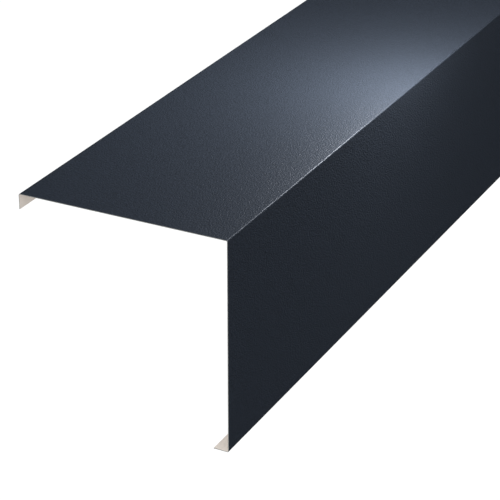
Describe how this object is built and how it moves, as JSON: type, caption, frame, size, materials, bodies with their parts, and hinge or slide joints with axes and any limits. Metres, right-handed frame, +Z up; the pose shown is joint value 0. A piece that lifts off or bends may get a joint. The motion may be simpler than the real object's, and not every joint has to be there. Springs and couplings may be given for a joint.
{
  "type": "external corner trim",
  "caption": "Folded coated-steel angle trim for an external wall or roof corner: two equal flanges, each with a narrow lip turned in.",
  "frame": {"origin": "on the inner corner line, where the two flanges' inner faces meet, at mid-length", "axes": "+X out through the side flange, +Y along the trim, +Z up out of the top flange"},
  "size_m": [0.1449, 2, 0.1449],
  "materials": {
    "coated_steel_sheet": "anthracite grained coil coating, satin; beige-grey back coat on the inner side"
  },
  "bodies": {
    "root": {"corner_trim": "coated_steel_sheet"}
  },
  "joints": []
}
